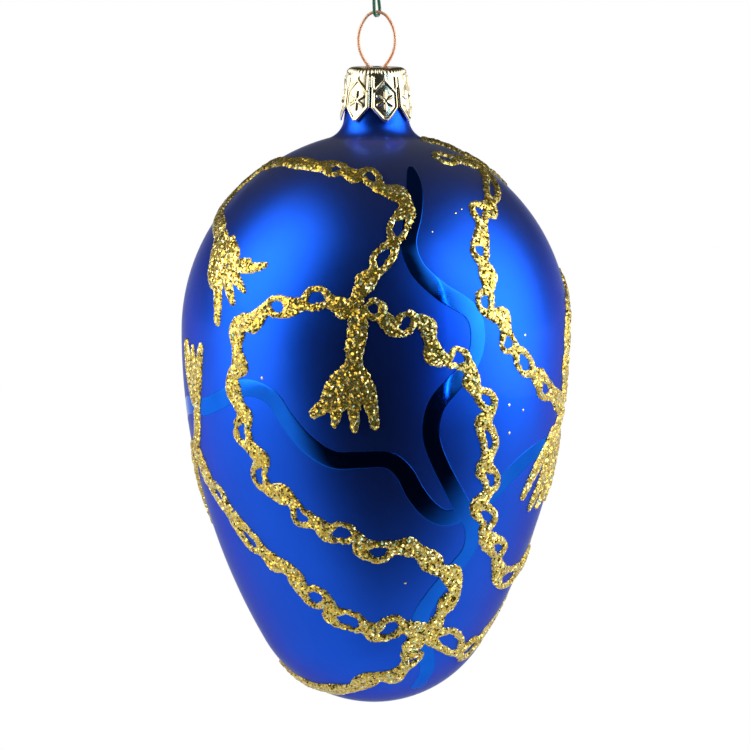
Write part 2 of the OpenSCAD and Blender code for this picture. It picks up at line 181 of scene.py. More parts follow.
# Meshes
def piece(name, verts, faces, body, mat, smooth=True):
    mesh = bpy.data.meshes.new(name)
    mesh.from_pydata((np.asarray(verts, float) * MM).tolist(), [], faces)
    mesh.polygons.foreach_set("use_smooth", [smooth] * len(mesh.polygons))
    mesh.materials.append(mat)
    mesh.update()
    obj = bpy.data.objects.new(name, mesh)
    scene.collection.objects.link(obj)
    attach(obj, body)
    return obj


def stand_for(obj, node):
    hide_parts(node)


def revolve(profile, sides):
    """A closed solid from a profile of [radius, height] rows whose ends lie on the axis."""
    turn = np.linspace(0, 2 * math.pi, sides, endpoint=False)
    inner = np.asarray(profile[1:-1], float)
    ring = np.stack([np.outer(inner[:, 0], np.cos(turn)), np.outer(inner[:, 0], np.sin(turn)),
                     np.repeat(inner[:, 1:], sides, 1)], -1).reshape(-1, 3)
    verts = np.vstack([ring, [[0, 0, profile[0][1]], [0, 0, profile[-1][1]]]])
    n, low, high = len(inner), len(ring), len(ring) + 1
    faces = []
    for j in range(sides):
        k = (j + 1) % sides
        faces.append((low, k, j))
        for i in range(n - 1):
            faces.append((i * sides + j, i * sides + k, (i + 1) * sides + k, (i + 1) * sides + j))
        faces.append(((n - 1) * sides + j, (n - 1) * sides + k, high))
    return verts, faces


def arc(centre, radius, first, last, steps):
    a = np.linspace(first, last, steps + 1)
    return np.stack([centre[0] + radius * np.cos(a), centre[1] + radius * np.sin(a)], -1)


# Wires: steps in millimetres along a straight run and in degrees round a bend, and sides of their round
RUN_STEP = 0.6
BEND_STEP = 5
WIRE_SIDES = 18


def turtle(at, heading, steps):
    """Points of a flat line made of [length] and [radius, turn in degrees] steps; a left turn is positive."""
    at, heading = np.array(at, float), math.radians(heading)
    points = [at]
    for step in steps:
        if len(step) == 1:
            count = max(1, int(step[0] / RUN_STEP))
            turn, chord = 0.0, step[0] / count
        else:
            count = max(3, int(abs(step[1]) / BEND_STEP))
            turn = math.radians(step[1]) / count
            chord = 2 * step[0] * math.sin(abs(turn) / 2)
        for _ in range(count):
            heading += turn / 2
            at = at + chord * np.array([math.cos(heading), math.sin(heading)])
            heading += turn / 2
            points.append(at)
    return np.array(points)


def tube(points, radius, side_way):
    """A round wire along points that lie in one plane, with rounded ends."""
    way = unit(np.gradient(points, axis=0))
    side = np.broadcast_to(np.asarray(side_way, float), points.shape)
    up = np.cross(side, way)
    rings = [(p, radius, i) for i, p in enumerate(points)]
    for a in np.radians([20, 40, 60, 80]):
        past, narrow = radius * math.sin(a), radius * math.cos(a)
        rings.insert(0, (points[0] - past * way[0], narrow, 0))
        rings.append((points[-1] + past * way[-1], narrow, -1))
    sides = WIRE_SIDES
    turn = np.linspace(0, 2 * math.pi, sides, endpoint=False)
    verts = []
    for p, r, i in rings:
        verts += [p + r * (math.cos(t) * side[i] + math.sin(t) * up[i]) for t in turn]
    first, last = len(verts), len(verts) + 1
    verts += [points[0] - radius * way[0], points[-1] + radius * way[-1]]
    faces = []
    for j in range(sides):
        k = (j + 1) % sides
        faces.append((first, j, k))
        for i in range(0, first - sides, sides):
            faces.append((i + j, i + sides + j, i + sides + k, i + k))
        faces.append((last, first - sides + k, first - sides + j))
    return verts, faces


def blanket(top, low, keep, wrap=False):
    """A closed skin over a grid: kept cells have a top and an underside that share their outer edge."""
    rows, cols = keep.shape[0] + (0 if wrap else 1), keep.shape[1] + 1
    whole = np.zeros((rows, cols), int)
    used = np.zeros((rows, cols), bool)
    i, j = np.nonzero(keep)
    k = (i + 1) % rows
    for a, b in ((i, j), (i, j + 1), (k, j), (k, j + 1)):
        np.add.at(whole, (a, b), 1)
        used[a, b] = True
    inside = used & (whole == 4)
    index = np.full((rows, cols), -1)
    index[used] = np.arange(used.sum())
    under = index.copy()
    under[inside] = used.sum() + np.arange(inside.sum())
    verts = np.vstack([np.where(inside[used][:, None], top[used], low[used]), low[inside]])
    upper = np.stack([index[i, j], index[k, j], index[k, j + 1], index[i, j + 1]], -1)
    lower = np.stack([under[i, j], under[i, j + 1], under[k, j + 1], under[k, j]], -1)
    return verts, np.vstack([upper, lower]).tolist()


def sound(keep):
    """Kept cells without those that have no thickness or hang on by a corner or a bare edge."""
    keep = keep.copy()
    for _ in range(40):
        cells = np.pad(keep, 1).astype(int)
        inside = cells[:-1, :-1] + cells[:-1, 1:] + cells[1:, :-1] + cells[1:, 1:] == 4
        thin = keep & ~(inside[:-1, :-1] | inside[:-1, 1:] | inside[1:, :-1] | inside[1:, 1:])
        beside = keep[:, :-1] & keep[:, 1:] & ~inside[:-1, 1:-1] & ~inside[1:, 1:-1]
        below = keep[:-1] & keep[1:] & ~inside[1:-1, :-1] & ~inside[1:-1, 1:]
        falling = keep[:-1, :-1] & keep[1:, 1:] & ~keep[:-1, 1:] & ~keep[1:, :-1]
        rising = keep[:-1, 1:] & keep[1:, :-1] & ~keep[:-1, :-1] & ~keep[1:, 1:]
        keep[thin] = False
        keep[:, 1:][beside] = False
        keep[1:][below] = False
        keep[1:, 1:][falling] = False
        keep[1:, :-1][rising] = False
        if not any(found.any() for found in (thin, beside, below, falling, rising)):
            break
    return keep


# Node trees of materials, lights and the surroundings
class Nodes:
    def __init__(self, owner):
        owner.use_nodes = True
        self.nodes, self.links = owner.node_tree.nodes, owner.node_tree.links

    def node(self, kind, inputs=None, **settings):
        n = self.nodes.new(kind)
        for key, value in settings.items():
            setattr(n, key, value)
        for key, value in (inputs or {}).items():
            self.put(n.inputs[key], value)
        return n

    def put(self, socket, value):
        if isinstance(value, bpy.types.NodeSocket):
            self.links.new(value, socket)
        else:
            socket.default_value = value

    def math(self, operation, a, b=0.0):
        return self.node("ShaderNodeMath", {0: a, 1: b}, operation=operation).outputs[0]

    def vector(self, operation, *inputs):
        return self.node("ShaderNodeVectorMath", dict(enumerate(inputs)), operation=operation).outputs

    def axes(self, place):
        return self.node("ShaderNodeSeparateXYZ", {0: place}).outputs

    def span(self, fac, low, high, from_low=0.0, from_high=1.0, form="LINEAR"):
        ends = {"Value": fac, "From Min": from_low, "From Max": from_high, "To Min": low, "To Max": high}
        return self.node("ShaderNodeMapRange", ends, interpolation_type=form).outputs["Result"]

    def smooth(self, *ends):
        return self.span(*ends, form="SMOOTHSTEP")


class Shader(Nodes):
    def __init__(self, name):
        self.mat = bpy.data.materials.new(name)
        super().__init__(self.mat)
        self.bsdf = self.nodes["Principled BSDF"]

    def set(self, **values):
        for key, value in values.items():
            self.put(self.bsdf.inputs[key.replace("_", " ")], value)

    def place(self):
        return self.node("ShaderNodeTexCoord").outputs["Object"]

    def noise(self, size_mm, detail):
        inputs = {"Vector": self.place(), "Scale": 1 / (size_mm * MM), "Detail": detail}
        return self.node("ShaderNodeTexNoise", inputs).outputs["Fac"]

    def ramp(self, fac, stops):
        n = self.node("ShaderNodeValToRGB", {"Fac": fac})
        while len(n.color_ramp.elements) < len(stops):
            n.color_ramp.elements.new(0.5)
        for e, (pos, col) in zip(n.color_ramp.elements, stops):
            e.position, e.color = pos, (*col, 1)
        return n.outputs["Color"]

    def bump(self, height, distance_mm):
        inputs = {"Height": height, "Distance": distance_mm * MM}
        return self.node("ShaderNodeBump", inputs).outputs["Normal"]


def satin_blue():
    s = Shader("satin_blue")
    cloud = s.noise(14, 3)
    s.set(Base_Color=s.ramp(cloud, [(0.3, (0.003, 0.092, 0.78)), (0.7, (0.005, 0.108, 0.86))]),
          Metallic=1.0, Roughness=s.span(s.noise(0.5, 3), 0.30, 0.37, 0.3, 0.7),
          Normal=s.bump(s.noise(0.25, 2), 0.004), Coat_Weight=0.08, Coat_Roughness=0.04,
          Specular_Tint=(0.25, 0.28, 0.38, 1), Sheen_Weight=0.16, Sheen_Roughness=0.5)
    return s.mat


def gloss_blue():
    s = Shader("gloss_blue")
    s.set(Base_Color=s.ramp(s.noise(6, 2), [(0.3, (0.004, 0.14, 0.84)), (0.7, (0.006, 0.165, 0.92))]),
          Metallic=1.0, Roughness=s.span(s.noise(1.5, 3), 0.07, 0.13, 0.3, 0.7),
          Normal=s.bump(s.noise(2.5, 2), 0.006), Coat_Weight=0.1, Coat_Roughness=0.02,
          Specular_Tint=(0.4, 0.5, 0.75, 1))
    return s.mat


FLAKE = 0.37


def gold_glitter():
    s = Shader("gold_glitter")
    inputs = {"Vector": s.place(), "Scale": 1 / (FLAKE * MM), "Randomness": 1.0}
    flakes = s.node("ShaderNodeTexVoronoi", inputs).outputs["Color"]
    rims = s.node("ShaderNodeTexVoronoi", inputs, feature="DISTANCE_TO_EDGE").outputs["Distance"]
    chance = s.node("ShaderNodeSeparateColor", {"Color": flakes}).outputs
    tint = s.ramp(chance[0], [
        (0.0, (0.60, 0.36, 0.01)), (0.2, (0.97, 0.70, 0.06)), (0.55, (1.0, 0.82, 0.17)),
        (0.85, (1.0, 0.89, 0.36)), (0.97, (1.0, 0.94, 0.60)), (0.988, (0.6, 0.95, 0.6)),
        (1.0, (0.4, 0.88, 0.85))])
    # Each flake's colour darkens to brown towards its edge: painted shade in the gaps between the grains
    painted_gap_shade = [s.span(rims, low, 1.0, 0.0, 0.11) for low in (0.48, 0.29, 0.02)]
    shade = s.node("ShaderNodeMix", {"Factor": 1.0, 6: tint}, data_type="RGBA", blend_type="MULTIPLY")
    s.put(shade.inputs[7], s.node("ShaderNodeCombineColor", dict(enumerate(painted_gap_shade))).outputs[0])
    tilt = s.vector("SUBTRACT", flakes, (0.5, 0.5, 0.5))[0]
    loose = s.smooth(chance[2], 0.0, 1.0, 0.42, 0.8)
    lean = s.node("ShaderNodeVectorMath", {0: tilt, "Scale": s.span(loose, 0.5, 1.8)}, operation="SCALE")
    normal = s.node("ShaderNodeNewGeometry").outputs["Normal"]
    flake = s.vector("NORMALIZE", s.vector("ADD", normal, lean.outputs[0])[0])[0]
    s.set(Base_Color=shade.outputs[2], Metallic=0.88, Roughness=s.span(chance[1], 0.16, 0.36),
          Normal=flake, Coat_Weight=0.6, Coat_Roughness=0.2, Coat_Normal=flake)
    return s.mat


def gold_cap():
    s = Shader("pale_gold")
    s.set(Base_Color=s.ramp(s.noise(1.6, 3), [(0.3, (0.93, 0.80, 0.48)), (0.7, (1.0, 0.91, 0.66))]),
          Metallic=1.0, Roughness=s.span(s.noise(0.6, 3), 0.18, 0.28, 0.3, 0.7),
          Normal=s.bump(s.noise(0.35, 2), 0.008))
    return s.mat


def copper():
    s = Shader("copper_wire")
    s.set(Base_Color=s.ramp(s.noise(3, 3), [(0.3, (1.0, 0.46, 0.24)), (0.7, (1.0, 0.66, 0.46))]),
          Metallic=0.75, Roughness=s.span(s.noise(2, 2), 0.5, 0.65, 0.3, 0.7),
          Normal=s.bump(s.noise(2, 2), 0.004))
    return s.mat


def green_enamel():
    s = Shader("green_enamel")
    s.set(Base_Color=s.ramp(s.noise(1.5, 3), [(0.3, (0.016, 0.13, 0.06)), (0.7, (0.03, 0.20, 0.10))]),
          Metallic=0.0, Roughness=s.span(s.noise(0.6, 2), 0.18, 0.34, 0.3, 0.7),
          Normal=s.bump(s.noise(0.4, 2), 0.02), Coat_Weight=0.4, Coat_Roughness=0.1)
    return s.mat


BLUE, GLOSS, GLITTER = satin_blue(), gloss_blue(), gold_glitter()
GOLD, COPPER, GREEN = gold_cap(), copper(), green_enamel()

# The egg: one hollow piece of glass with its neck
NECK_DOWN = np.array([math.sin(NECK_SLOPE), -math.cos(NECK_SLOPE)])
NECK_OUT = np.array([math.cos(NECK_SLOPE), math.sin(NECK_SLOPE)])
NECK_TOP = np.array([NECK_R, CROWN_H + NECK_RISE])
EGG_SIDES = 256


def fillet_middle():
    """Middle of the round where the neck runs into the crown."""
    start = NECK_TOP + NECK_FILLET * NECK_OUT
    gap = start - CROWN_C
    near = gap @ NECK_DOWN
    run = -near - math.sqrt(near ** 2 - gap @ gap + (CROWN_RAD + NECK_FILLET) ** 2)
    return start + run * NECK_DOWN


FILLET_C = fillet_middle()
FILLET_WAY = math.atan2(FILLET_C[1] - CROWN_C[1], FILLET_C[0] - CROWN_C[0])
TIP_ANGLE = math.atan2(TIP_WAY[1], TIP_WAY[0])


def egg_wall(inset, fine):
    """The egg's profile from its tip to just under its rim, this far inside its outer face."""
    hollow = NECK_FILLET + inset
    neck_top = NECK_TOP - inset * NECK_OUT
    neck_foot = FILLET_C - hollow * NECK_OUT
    runs = [
        arc(TIP_C, TIP_R - inset, -math.pi / 2, TIP_ANGLE, int(30 * fine)),
        arc(SIDE_C, SIDE_RAD - inset, TIP_ANGLE, 0, int(56 * fine))[1:],
        arc(CROWN_C, CROWN_RAD - inset, 0, FILLET_WAY, int(44 * fine))[1:],
        arc(FILLET_C, hollow, FILLET_WAY + math.pi, NECK_SLOPE + math.pi, int(12 * fine))[1:],
        np.linspace(neck_foot, neck_top + WALL / 2 * NECK_DOWN, int(10 * fine))[1:],
    ]
    return np.vstack(runs)


def make_egg():
    outer, inner = egg_wall(0, 1.5), egg_wall(WALL, 0.75)
    rim_c = NECK_TOP + WALL / 2 * (NECK_DOWN - NECK_OUT)
    rim = arc(rim_c, WALL / 2, NECK_SLOPE, NECK_SLOPE + math.pi, 8)[1:-1]
    profile = np.vstack([outer, rim, inner[::-1]])
    profile[0, 0] = profile[-1, 0] = 0
    profile[:, 1] += MIDDLE_Z
    verts, faces = revolve(profile, EGG_SIDES)
    stand_for(piece("egg_shell", verts, faces, "egg", BLUE), "glass_egg")


make_egg()

# Stamped cap: a flat top with a hole, a ribbed shoulder and pointed leaves
SHOULDER_Z = CAP_TOP - CAP_ROUND
RIM_Z = CAP_TOP - CAP_SHEET - CAP_SEAT
RIBS = 48
RIB_H = 0.1
RIB_IN = 0.3
RIB_FADE = 0.5
STAMPED_SHEET = 0.22
STAMP_FADE = 0.5
WELD_GAP = 0.002


def cap_side(z):
    """Outside radius of the cap's skirt at a height."""
    return NECK_R + CAP_OFF / math.cos(NECK_SLOPE) + (RIM_Z - z) * math.tan(NECK_SLOPE)


SHOULDER_R = cap_side(SHOULDER_Z) - CAP_ROUND / math.cos(NECK_SLOPE)
LEAF_HALF = cap_side(CAP_TIP) * math.sin(math.pi / LEAVES)


def ridge(distance, height, half):
    """A rounded ridge by the distance from its middle."""
    return height * (1 + np.cos(math.pi * np.clip(distance / half, -1, 1))) / 2


def to_segment(u, v, a, b):
    """Distance of places from the straight line between two points."""
    d = b - a
    t = np.clip(((u - a[0]) * d[0] + (v - a[1]) * d[1]) / (d @ d), 0, 1)
    return np.hypot(u - a[0] - t * d[0], v - a[1] - t * d[1])


# Stamping of a leaf: a border, a star and a roof with a spike, each a ridge of (height, half width)
BORDER = (0.24, 0.38)
BORDER_IN = 0.36
BORDER_LEAN = 0.72
STAR = (0.28, 0.36)
STAR_Z = CAP_TIP + 3.811
STAR_R = 1.55
STAR_EYE_R = 0.35
ROOF = (0.24, 0.32)
ROOF_Z = CAP_TOP - 2.236
ROOF_HALF = 1.9
ROOF_DROP = 2.0
SPIKE = (0.22, 0.28)
SPIKE_H = 0.9


def leaf_relief(u, z, half, low):
    """Height of the stamping at a place of a leaf, in millimetres."""
    to_edge = np.minimum(half - np.abs(u), (z - low) * BORDER_LEAN)
    raised = ridge(to_edge - BORDER_IN, *BORDER)
    star, roof = np.array([0, STAR_Z]), np.array([0, ROOF_Z])
    lines = [(roof, roof + [0, SPIKE_H], SPIKE)]
    for side in (-1, 1):
        lines.append((roof, roof + [side * ROOF_HALF, -ROOF_DROP], ROOF))
    for a in np.radians(np.arange(90, 450, 60)):
        way = np.array([math.cos(a), math.sin(a)])
        lines.append((star + STAR_EYE_R * way, star + STAR_R * way, STAR))
    for start, end, form in lines:
        raised = np.maximum(raised, ridge(to_segment(u, z, start, end), *form))
    return raised


def make_cap():
    across, down = 45, 64
    wedge = math.pi / LEAVES
    a = np.linspace(-1, 1, across)
    top = [(r, CAP_TOP) for r in np.linspace(CAP_HOLE_R, SHOULDER_R, 8)[:-1]]
    bend = arc((SHOULDER_R, SHOULDER_Z), CAP_ROUND, math.pi / 2, NECK_SLOPE, 14)
    skirt = bend[-1][1]
    slant = (np.abs(a) * LEAF_HALF - LEAF_POINT / 2) / (LEAF_HALF - LEAF_POINT / 2)
    low = CAP_TIP + LEAF_NOTCH * np.clip(slant, 0, 1)
    rows, faces = [], []
    for leaf in range(LEAVES):
        middle = math.radians(CAP_TURN + leaf * 360 / LEAVES)
        first = len(rows)
        for r, z in [*top, *bend]:
            turn = middle + a * wedge
            from_top = np.clip((CAP_TOP - z) / RIB_IN, 0, 1)
            from_low = np.clip((z - SHOULDER_Z - RIB_IN) / RIB_FADE, 0, 1)
            out = r + RIB_H * from_top * from_low * np.cos(RIBS * turn)
            rows.append(np.stack([out * np.cos(turn), out * np.sin(turn), np.full(across, z)], -1))
        for t in np.linspace(0, 1, down + 1)[1:]:
            z = skirt + (low - skirt) * t
            r = cap_side(z)
            half_turn = wedge - np.where(z < SLIT_TOP, LEAF_SLIT / 2 / r, 0)
            half = r * half_turn
            fade = np.clip((skirt - z) / STAMP_FADE, 0, 1)
            out = r + leaf_relief(a * half, z, half, low) * fade
            turn = middle + a * half_turn
            rows.append(np.stack([out * np.cos(turn), out * np.sin(turn), z], -1))
        for i in range(first, len(rows) - 1):
            for j in range(i * across, (i + 1) * across - 1):
                faces.append((j, j + across, j + across + 1, j + 1))
    obj = piece("leaf_cap", np.vstack(rows), faces, "cap", GOLD)
    weld = obj.modifiers.new("weld", "WELD")
    weld.merge_threshold = WELD_GAP * MM
    thick = obj.modifiers.new("sheet", "SOLIDIFY")
    thick.thickness, thick.offset = STAMPED_SHEET * MM, -1
    stand_for(obj, "cap")


make_cap()

# Wires: the oval loop with its sprung legs, and the hook
OVAL_RISE = LOOP_HALF_H - LOOP_TOP_R
OVAL_GAP = LOOP_HALF_W - LOOP_TOP_R
LOOP_SIDE_R = (LOOP_HALF_W ** 2 + OVAL_RISE ** 2 - LOOP_TOP_R ** 2) / (2 * OVAL_GAP)
OVAL_TURN = math.atan2(OVAL_RISE, LOOP_SIDE_R - LOOP_HALF_W)
OVAL_DROP = LOOP_SIDE_R * math.sin(OVAL_TURN) + LEG_RUN * math.cos(OVAL_TURN)
LEG_X = LOOP_HALF_W - LOOP_SIDE_R * (1 - math.cos(OVAL_TURN)) - LEG_RUN * math.sin(OVAL_TURN)
LEG_WAIST_X = LEG_X - LEG_BEND_R * (1 - math.cos(OVAL_TURN))
LEG_SPLAY = math.asin((NECK_R - WALL - LEG_GAP - WIRE_R - LEG_WAIST_X) / LEG_LEN)


def make_loop():
    turn, splay = math.degrees(OVAL_TURN), math.degrees(LEG_SPLAY)
    run = [[LOOP_TOP_R, turn - 90], [LOOP_SIDE_R, -2 * turn], [LEG_RUN],
           [LEG_BEND_R, turn + splay], [LEG_LEN]]
    right = turtle((0, CAP_TOP + OVAL_DROP + LOOP_HALF_H), 0, run)
    flat = np.vstack([right[:0:-1] * [-1, 1], right])
    line = np.stack([flat[:, 0], np.zeros(len(flat)), flat[:, 1]], -1)
    loop = piece("copper_loop", *tube(line, WIRE_R, (0, 1, 0)), "hanger", COPPER)
    stand_for(loop, "hanger_wire")


def make_hook():
    low = np.array([HOOK_FLAT / 2, PIN_Z + HOOK_BEND_R])
    span = np.array([0, PIN_Z + HOOK_H - HOOK_TOP_R]) - low
    shank = math.sqrt(span @ span - (HOOK_BEND_R + HOOK_TOP_R) ** 2)
    lean = math.degrees(math.atan2(span[1], span[0]) - math.atan2(shank, HOOK_BEND_R + HOOK_TOP_R))
    start = (-HOOK_FLAT / 2, PIN_Z)
    short = turtle(start, 180, [[HOOK_BEND_R, -HOOK_LOW_TURN], [HOOK_LOW_END]])
    long = turtle(start, 0, [[HOOK_FLAT], [HOOK_BEND_R, 90 + lean], [shank],
                             [HOOK_TOP_R, -180 - lean], [HOOK_HIGH_END]])
    flat = np.vstack([short[:0:-1], long])
    plane = math.radians(90 - HOOK_TURN)
    way = np.array([math.cos(plane), math.sin(plane), 0])
    line = flat[:, :1] * way + flat[:, 1:] * np.array([0, 0, 1])
    hook = piece("enamel_hook", *tube(line, HOOK_R, np.cross(way, (0, 0, 1))), "hook", GREEN)
    stand_for(hook, "green_hook")


make_loop()
make_hook()

# Glossy lacquer waves on the satin lacquer
GIRDLE = [
    (-63, -20), (-52, -17), (-41, -13), (-32, -15), (-27, -21), (-21, -27), (-13, -31), (-4, -31),
    (4, -31), (9, -34), (13, -39), (18, -43), (24, -45), (31, -44), (40, -41), (48, -36), (57, -32),
    (68, -30), (79, -33), (89, -39), (100, -42), (112, -40), (123, -34), (134, -28), (146, -26),
    (158, -30), (168, -36), (180, -39), (192, -36), (202, -30), (213, -25), (225, -26), (236, -31),
    (247, -34), (258, -31), (269, -25), (281, -21)]
WAVE = [
    (20, 60), (17, 49), (14, 40), (11, 31), (13, 23), (20, 16), (29, 10), (31, 3), (29, -5), (23, -11),
    (18, -17), (17, -25), (21, -33), (28, -41), (35, -47), (36, -52), (31, -56), (24, -61), (21, -65),
    (27, -70), (34, -74), (37, -79)]
GIRDLE_LIFT = 0.02
WAVE_LIFT = 0.04
BAND_HALF = 1.6
BAND_STEP = 0.35
BAND_CROWN = 0.012
BAND_SUNK = 0.03
BAND_WOBBLE = 0.06
WOBBLE_PACE = 0.09
START_TAPER = 8
BAND_KNOT_STEPS = 30
BAND_COLUMNS = 15


def make_band(name, node, route, lift, closed=False, turn=0):
    """A thin band of lacquer along a route; an open band starts in a long taper and has a round end."""
    lonlat = bend_through([(lon + turn, lat) for lon, lat in route], BAND_KNOT_STEPS, closed)
    line, lonlat = even(surface(lonlat[:, 0], lonlat[:, 1])[0], BAND_STEP, lonlat)
    if closed:
        line, lonlat = line[:-1], lonlat[:-1]
        way = unit(np.roll(line, -1, 0) - np.roll(line, 1, 0))
    else:
        way = unit(np.gradient(line, axis=0))
    face = surface(lonlat[:, 0], lonlat[:, 1])[1]
    side = unit(np.cross(face, way))
    t = np.sin(np.linspace(-1, 1, BAND_COLUMNS) * math.pi / 2)
    count = np.arange(len(line))
    half = BAND_HALF * (1 + BAND_WOBBLE * np.sin(WOBBLE_PACE * count))
    if not closed:
        end = np.minimum(count / START_TAPER, count[::-1]) * BAND_STEP
        half = half * np.sqrt(np.clip(1 - (1 - np.clip(end / BAND_HALF, 0, 1)) ** 2, 0.02, 1))
    spots = line[:, None] + (half[:, None] * t)[..., None] * side[:, None]
    crown = np.broadcast_to(lift + BAND_CROWN * np.sqrt(1 - t ** 4), spots.shape[:2])
    top, low = on_surface(spots, crown), on_surface(spots, -BAND_SUNK)
    low[:, [0, -1]] = on_surface(spots[:, [0, -1]], lift / 2)
    keep = np.ones((len(line) - (0 if closed else 1), len(t) - 1), bool)
    obj = piece(name, *blanket(top, low, keep, closed), "egg", GLOSS)
    stand_for(obj, node)


make_band("lacquer_girdle", "gloss_girdle", GIRDLE, GIRDLE_LIFT, True)
make_band("lacquer_wave_front", "gloss_front_wave", WAVE, WAVE_LIFT)
make_band("lacquer_wave_back", "gloss_back_wave", WAVE, WAVE_LIFT, False, 180)

# Raised glitter: strokes of glue laid on the glass and covered in grains
GRID = 0.19
GRAIN = 0.48
BEAD_H = 0.6
BEAD_HALF = 0.75
BEAD_REACH = 2.5
GLUE_SPREAD = 1.06
GLUE_SUNK = 0.04
GRAIN_SHIFT = 0.05
GRAIN_MIX = 0.9
LUMPS = (0.78, 1.15)
RAGGED = (0.075, 0.635)
FLAKE_LIE = 2.0
STROKE_STEP = 0.12


def lay_flakes(mesh):
    """Turn a bead's shading part of the way to the glass below, because its flakes lie at all slants."""
    n = len(mesh.vertices)
    place, own = np.empty(3 * n), np.empty(3 * n)
    mesh.vertices.foreach_get("co", place)
    mesh.vertex_normals.foreach_get("vector", own)
    place, own = place.reshape(-1, 3) / MM, own.reshape(-1, 3)
    out = unit(on_surface(place, 1.0) - on_surface(place, 0.0))
    mesh.normals_split_custom_set_from_vertices(unit(own + FLAKE_LIE * out))


def relief(name, node, spine, strokes, half_width):
    """A closed skin over strokes beside a spine on the egg; a stroke is (points, half widths, heights)."""
    spine, = even(spine, GRID)
    way = unit(np.gradient(spine, axis=0))
    face = unit(spine - [0, 0, MIDDLE_Z])
    side = unit(np.cross(face, way))
    t = np.arange(-half_width, half_width + GRID, GRID)
    spots = on_surface(spine[:, None] + t[None, :, None] * side[:, None], 0.0)
    rows, cols = spots.shape[:2]
    flat = spots.reshape(-1, 3)
    bulge, tall = np.zeros(len(flat)), np.zeros(len(flat))
    for line, half, rise in strokes:
        tree = kdtree.KDTree(len(line))
        for i, p in enumerate(line):
            tree.insert(p, i)
        tree.balance()
        low, high = line.min(0) - BEAD_REACH, line.max(0) + BEAD_REACH
        for v in np.nonzero(((flat > low) & (flat < high)).all(1))[0]:
            _, i, gap = tree.find(flat[v])
            reach = GLUE_SPREAD * half[i]
            if gap < reach:
                bead = min(1.0, half[i] / BEAD_HALF) * math.sqrt(1 - (gap / reach) ** 2)
                bulge[v] = max(bulge[v], bead)
                tall[v] = max(tall[v], BEAD_H * rise[i] * bead)
    bulge, tall = bulge.reshape(rows, cols), tall.reshape(rows, cols)
    along = (np.arange(rows)[:, None] * GRID / GRAIN + rng.uniform(0, GRAIN_MIX, (rows, cols))).astype(int)
    across = (np.arange(cols)[None] * GRID / GRAIN + rng.uniform(0, GRAIN_MIX, (rows, cols))).astype(int)
    grains = (along.max() + 1, across.max() + 1)
    lump = rng.uniform(*LUMPS, grains)[along, across]
    shift = rng.uniform(-GRAIN_SHIFT, GRAIN_SHIFT, spots.shape)
    top = on_surface(spots + shift, tall * lump)
    low = on_surface(spots, -GLUE_SUNK)
    full = bulge > rng.uniform(*RAGGED, grains)[along, across]
    corners = [full[:-1, :-1], full[:-1, 1:], full[1:, :-1], full[1:, 1:]]
    keep = np.sum(corners, 0) >= 2
    obj = piece(name, *blanket(top, low, sound(keep)), "egg", GLITTER)
    lay_flakes(obj.data)
    stand_for(obj, node)


# Ropes: two strands, each (distance from the middle, half width) at an eye, a lobe or a crossing
EYE = (1.42, 0.60)
LOBE = (0.78, 1.08)
CROSS = (0.40, 0.86)
EYE_HOLD = 0.25
EYE_CHANCE = 0.8
PITCH = 4.2
WEAVE = (0, 1, 0.4, 0, -1, -0.4)
WEAVE_SPREAD = (0.6, 1.4)
STRAND_SPREAD = (0.88, 1.12)
KNOT_STEPS = 24
EASE = 36
END_TAPER = 1.4
END_SHARE = 0.45
ROPE_HALF = 4.6


def tail_knots(start, tail):
    """Knots at even steps along a rope's tail, which weave a little and have eyes at random."""
    rest = bend_through([*start, *tail], KNOT_STEPS)
    _, rest = even(surface(rest[:, 0], rest[:, 1])[0], PITCH / 2, rest)
    knots = []
    for i, (lon, lat) in enumerate(rest[len(start):]):
        lean = WEAVE[i % len(WEAVE)] * rng.uniform(*WEAVE_SPREAD)
        eye = 1 if i % 3 == 1 and rng.uniform() < EYE_CHANCE else 0
        knots.append((lon + lean / math.cos(math.radians(lat)), lat + lean, eye))
    return knots


def make_rope(node, seen, tail=(), tail_rise=1.0):
    """A rope whose strands part round its eyes, along knots of (longitude, latitude, eye) and then a tail."""
    knots = list(seen)
    if tail:
        knots += tail_knots([knot[:2] for knot in seen[-1:]], tail)
    parts, crossing = [], False
    for _, _, eye in knots:
        crossing = not eye and not crossing
        parts.append(EYE if eye else CROSS if crossing else LOBE)
    parts = np.array(parts) * rng.uniform(*STRAND_SPREAD, (len(knots), 2))
    rise = np.where(np.arange(len(knots)) < len(seen), 1.0, tail_rise)
    parts = np.column_stack([parts, rise])
    runs = []
    for p, q, a, b in zip(parts, parts[1:], knots, knots[1:]):
        lead, trail = EYE_HOLD * a[2], EYE_HOLD * b[2]
        share = np.clip((np.arange(KNOT_STEPS) / KNOT_STEPS - lead) / (1 - lead - trail), 0, 1)
        runs.append(p + (q - p) * ((1 - np.cos(np.pi * share)) / 2)[:, None])
    parts = np.vstack([*runs, parts[-1:]])
    lonlat = bend_through([knot[:2] for knot in knots], KNOT_STEPS)
    line, parts = even(surface(lonlat[:, 0], lonlat[:, 1])[0], STROKE_STEP, parts)
    spine = on_surface(eased(line, EASE), 0.0)
    way = unit(np.gradient(spine, axis=0))
    side = unit(np.cross(unit(spine - [0, 0, MIDDLE_Z]), way))
    count = np.arange(len(line))
    ends = np.clip(np.minimum(count, count[::-1]) * STROKE_STEP / END_TAPER, END_SHARE, 1)
    apart, half, rise = parts[:, 0] * ends, parts[:, 1] * ends, parts[:, 2]
    strands = [on_surface(line + sign * apart[:, None] * side, 0.0) for sign in (-1, 1)]
    strokes = [(strand, half, rise) for strand in strands]
    relief(node + "_glitter", node, spine, strokes, ROPE_HALF)


# Share of a bead's full height on the tails past the right limb
LOW_TAIL = 0.35

